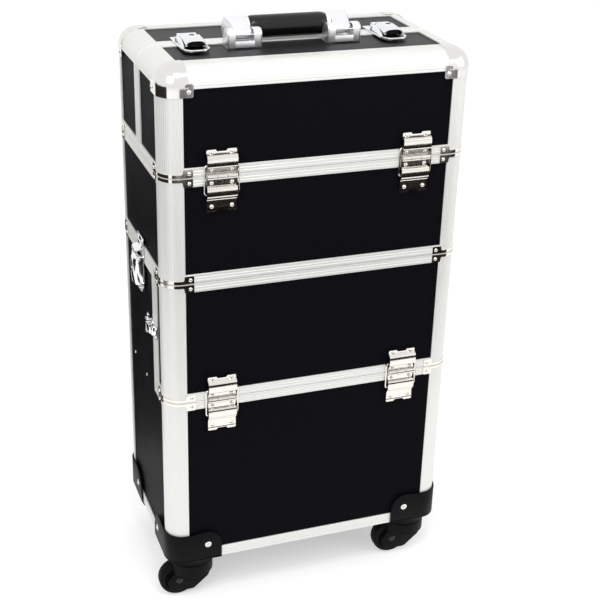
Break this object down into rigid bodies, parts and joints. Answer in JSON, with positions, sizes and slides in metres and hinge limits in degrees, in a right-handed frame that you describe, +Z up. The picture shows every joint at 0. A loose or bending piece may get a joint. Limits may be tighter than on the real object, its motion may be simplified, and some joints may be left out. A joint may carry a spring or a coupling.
{
  "type": "makeup train case",
  "caption": "Tall rolling makeup train case with aluminium-framed black panels, split top lids with cantilever trays, lift-off upper case, drop-down door and swivel casters",
  "frame": {"origin": "on the floor under the middle of the case", "axes": "+Z up, +X to the right of a person facing the front with its door, +Y to the back"},
  "size_m": [0.3876, 0.2276, 0.7133],
  "materials": {
    "aluminium": "satin anodised extrusion with fine grooves",
    "panel": "black board with a fine embossed dot pattern",
    "chrome": "polished nickel-chrome plate",
    "black_plastic": "satin moulded plastic",
    "wheel": "matte",
    "grip": "satin gloss",
    "tray": "textured moulded plastic"
  },
  "bodies": {
    "lower_case": {"lower_panels": "panel", "lower_frame": "aluminium", "corner_protector_front_left": "black_plastic", "corner_protector_front_right": "black_plastic", "corner_protector_rear_left": "black_plastic", "corner_protector_rear_right": "black_plastic", "door_hinge_lower_leaf_left": "chrome", "door_hinge_lower_leaf_right": "chrome", "side_latch_base_left": "chrome", "side_latch_base_right": "chrome"},
    "divider_tray": {"divider_tray": "tray"},
    "door": {"door_panels": "panel", "door_frame": "aluminium", "door_hinge_upper_leaf_left": "chrome", "door_hinge_upper_leaf_right": "chrome"},
    "door_hinge_rings": {"door_hinge_ring_left": "chrome", "door_hinge_ring_right": "chrome"},
    "upper_case": {"upper_panels": "panel", "upper_frame": "aluminium", "front_lid_hinge_lower_leaf_left": "chrome", "front_lid_hinge_lower_leaf_right": "chrome"},
    "front_lid": {"front_lid_panels": "panel", "front_lid_frame": "aluminium", "front_lid_hinge_upper_leaf_left": "chrome", "front_lid_hinge_upper_leaf_right": "chrome", "top_latch_base_left": "chrome", "top_latch_base_right": "chrome", "handle_bracket_left": "chrome", "handle_bracket_right": "chrome"},
    "rear_lid": {"rear_lid_panels": "panel", "rear_lid_frame": "aluminium"},
    "front_lid_hinge_rings": {"front_lid_hinge_ring_left": "chrome", "front_lid_hinge_ring_right": "chrome"},
    "rear_lid_hinge_rings": {"rear_lid_hinge_ring_left": "chrome", "rear_lid_hinge_ring_right": "chrome"},
    "carry_handle": {"handle_bail": "chrome", "handle_grip": "grip"},
    "top_latch_lever_left": {"top_latch_lever_left": "chrome"},
    "top_latch_lever_right": {"top_latch_lever_right": "chrome"},
    "side_latch_lever_left": {"side_latch_lever_left": "chrome"},
    "side_latch_lever_right": {"side_latch_lever_right": "chrome"},
    "door_latch_lever_left": {"door_latch_lever_left": "chrome"},
    "door_latch_lever_right": {"door_latch_lever_right": "chrome"},
    "front_tray_lower": {"front_tray_lower": "tray"},
    "front_tray_upper": {"front_tray_upper": "tray"},
    "front_tray_arms": {"front_tray_arm_left": "aluminium", "front_tray_arm_right": "aluminium"},
    "rear_tray_lower": {"rear_tray_lower": "tray"},
    "rear_tray_upper": {"rear_tray_upper": "tray"},
    "rear_tray_arms": {"rear_tray_arm_left": "aluminium", "rear_tray_arm_right": "aluminium"},
    "caster_front_left": {"caster_fork_front_left": "black_plastic"},
    "wheel_front_left": {"caster_wheel_front_left": "wheel"},
    "caster_front_right": {"caster_fork_front_right": "black_plastic"},
    "wheel_front_right": {"caster_wheel_front_right": "wheel"},
    "caster_rear_left": {"caster_fork_rear_left": "black_plastic"},
    "wheel_rear_left": {"caster_wheel_rear_left": "wheel"},
    "caster_rear_right": {"caster_fork_rear_right": "black_plastic"},
    "wheel_rear_right": {"caster_wheel_rear_right": "wheel"}
  },
  "joints": [
    {"name": "upper_case_lift", "type": "slide", "parent": "lower_case", "child": "upper_case", "axis": [0, 0, 1], "range_m": [0, 0.06]},
    {"name": "divider_tray_lift", "type": "slide", "parent": "lower_case", "child": "divider_tray", "axis": [0, 0, 1], "range_m": [0, 0.1]},
    {"name": "front_lid_hinge", "type": "hinge", "parent": "upper_case", "child": "front_lid", "pos_m": [0, -0.11, 0.567], "axis": [1, 0, 0], "range_deg": [0, 88]},
    {"name": "rear_lid_hinge", "type": "hinge", "parent": "upper_case", "child": "rear_lid", "pos_m": [0, 0.11, 0.567], "axis": [-1, 0, 0], "range_deg": [0, 88]},
    {"name": "door_hinge", "type": "hinge", "parent": "lower_case", "child": "door", "pos_m": [0, -0.11, 0.2914], "axis": [1, 0, 0], "range_deg": [0, 88]},
    {"name": "front_lid_ring_pivot", "type": "hinge", "parent": "upper_case", "child": "front_lid_hinge_rings", "pos_m": [0, -0.108, 0.5465], "axis": [1, 0, 0], "range_deg": [0, 46]},
    {"name": "rear_lid_ring_pivot", "type": "hinge", "parent": "upper_case", "child": "rear_lid_hinge_rings", "pos_m": [0, 0.108, 0.5465], "axis": [-1, 0, 0], "range_deg": [0, 46]},
    {"name": "door_ring_pivot", "type": "hinge", "parent": "lower_case", "child": "door_hinge_rings", "pos_m": [0, -0.108, 0.2709], "axis": [1, 0, 0], "range_deg": [0, 46]},
    {"name": "carry_handle_fold", "type": "hinge", "parent": "front_lid", "child": "carry_handle", "pos_m": [-0.0082, -0.0275, 0.699], "axis": [1, 0, 0], "range_deg": [0, 100]},
    {"name": "top_latch_left", "type": "hinge", "parent": "front_lid", "child": "top_latch_lever_left", "pos_m": [-0.122, -0.006, 0.6923], "axis": [-1, 0, 0], "range_deg": [0, 75]},
    {"name": "top_latch_right", "type": "hinge", "parent": "front_lid", "child": "top_latch_lever_right", "pos_m": [0.11, -0.006, 0.6923], "axis": [-1, 0, 0], "range_deg": [0, 75]},
    {"name": "side_latch_left", "type": "hinge", "parent": "lower_case", "child": "side_latch_lever_left", "pos_m": [-0.1863, 0, 0.4366], "axis": [0, 1, 0], "range_deg": [0, 75]},
    {"name": "side_latch_right", "type": "hinge", "parent": "lower_case", "child": "side_latch_lever_right", "pos_m": [0.1863, 0, 0.4366], "axis": [0, -1, 0], "range_deg": [0, 75]},
    {"name": "door_latch_left", "type": "hinge", "parent": "lower_case", "child": "door_latch_lever_left", "pos_m": [-0.1846, -0.0419, 0.3674], "axis": [0, 0, -1], "range_deg": [0, 80]},
    {"name": "door_latch_right", "type": "hinge", "parent": "lower_case", "child": "door_latch_lever_right", "pos_m": [0.1846, -0.0419, 0.3674], "axis": [0, 0, 1], "range_deg": [0, 80]},
    {"name": "front_tray_lower_pivot", "type": "hinge", "parent": "front_lid", "child": "front_tray_lower", "pos_m": [0, -0.0765, 0.597], "axis": [1, 0, 0], "range_deg": [-88, 0]},
    {"name": "front_tray_upper_pivot", "type": "hinge", "parent": "front_lid", "child": "front_tray_upper", "pos_m": [0, -0.04635, 0.624], "axis": [1, 0, 0], "range_deg": [-88, 0]},
    {"name": "front_tray_arm_pivot", "type": "hinge", "parent": "upper_case", "child": "front_tray_arms", "pos_m": [0, -0.085, 0.559], "axis": [1, 0, 0], "range_deg": [0, 88]},
    {"name": "rear_tray_lower_pivot", "type": "hinge", "parent": "rear_lid", "child": "rear_tray_lower", "pos_m": [0, 0.0765, 0.597], "axis": [-1, 0, 0], "range_deg": [-88, 0]},
    {"name": "rear_tray_upper_pivot", "type": "hinge", "parent": "rear_lid", "child": "rear_tray_upper", "pos_m": [0, 0.04635, 0.624], "axis": [-1, 0, 0], "range_deg": [-88, 0]},
    {"name": "rear_tray_arm_pivot", "type": "hinge", "parent": "upper_case", "child": "rear_tray_arms", "pos_m": [0, 0.085, 0.559], "axis": [-1, 0, 0], "range_deg": [0, 88]},
    {"name": "caster_swivel_front_left", "type": "hinge", "parent": "lower_case", "child": "caster_front_left", "pos_m": [-0.146, -0.0765, 0.065], "axis": [0, 0, 1], "continuous": true},
    {"name": "wheel_spin_front_left", "type": "hinge", "parent": "caster_front_left", "child": "wheel_front_left", "pos_m": [-0.164, -0.0765, 0.024], "axis": [0, 1, 0], "continuous": true},
    {"name": "caster_swivel_front_right", "type": "hinge", "parent": "lower_case", "child": "caster_front_right", "pos_m": [0.146, -0.0765, 0.065], "axis": [0, 0, 1], "continuous": true},
    {"name": "wheel_spin_front_right", "type": "hinge", "parent": "caster_front_right", "child": "wheel_front_right", "pos_m": [0.128, -0.0765, 0.024], "axis": [0, 1, 0], "continuous": true},
    {"name": "caster_swivel_rear_left", "type": "hinge", "parent": "lower_case", "child": "caster_rear_left", "pos_m": [-0.146, 0.0765, 0.065], "axis": [0, 0, 1], "continuous": true},
    {"name": "wheel_spin_rear_left", "type": "hinge", "parent": "caster_rear_left", "child": "wheel_rear_left", "pos_m": [-0.128, 0.0765, 0.024], "axis": [0, 1, 0], "continuous": true},
    {"name": "caster_swivel_rear_right", "type": "hinge", "parent": "lower_case", "child": "caster_rear_right", "pos_m": [0.146, 0.0765, 0.065], "axis": [0, 0, 1], "continuous": true},
    {"name": "wheel_spin_rear_right", "type": "hinge", "parent": "caster_rear_right", "child": "wheel_rear_right", "pos_m": [0.128, 0.0765, 0.024], "axis": [0, 1, 0], "continuous": true}
  ],
  "couplings": [
    {"joint": "front_lid_ring_pivot", "follows": "front_lid_hinge", "ratio": 0.512},
    {"joint": "rear_lid_ring_pivot", "follows": "rear_lid_hinge", "ratio": 0.512},
    {"joint": "door_ring_pivot", "follows": "door_hinge", "ratio": 0.512},
    {"joint": "front_tray_lower_pivot", "follows": "front_lid_hinge", "ratio": -1},
    {"joint": "front_tray_upper_pivot", "follows": "front_lid_hinge", "ratio": -1},
    {"joint": "front_tray_arm_pivot", "follows": "front_lid_hinge", "ratio": 1},
    {"joint": "rear_tray_lower_pivot", "follows": "rear_lid_hinge", "ratio": -1},
    {"joint": "rear_tray_upper_pivot", "follows": "rear_lid_hinge", "ratio": -1},
    {"joint": "rear_tray_arm_pivot", "follows": "rear_lid_hinge", "ratio": 1}
  ]
}
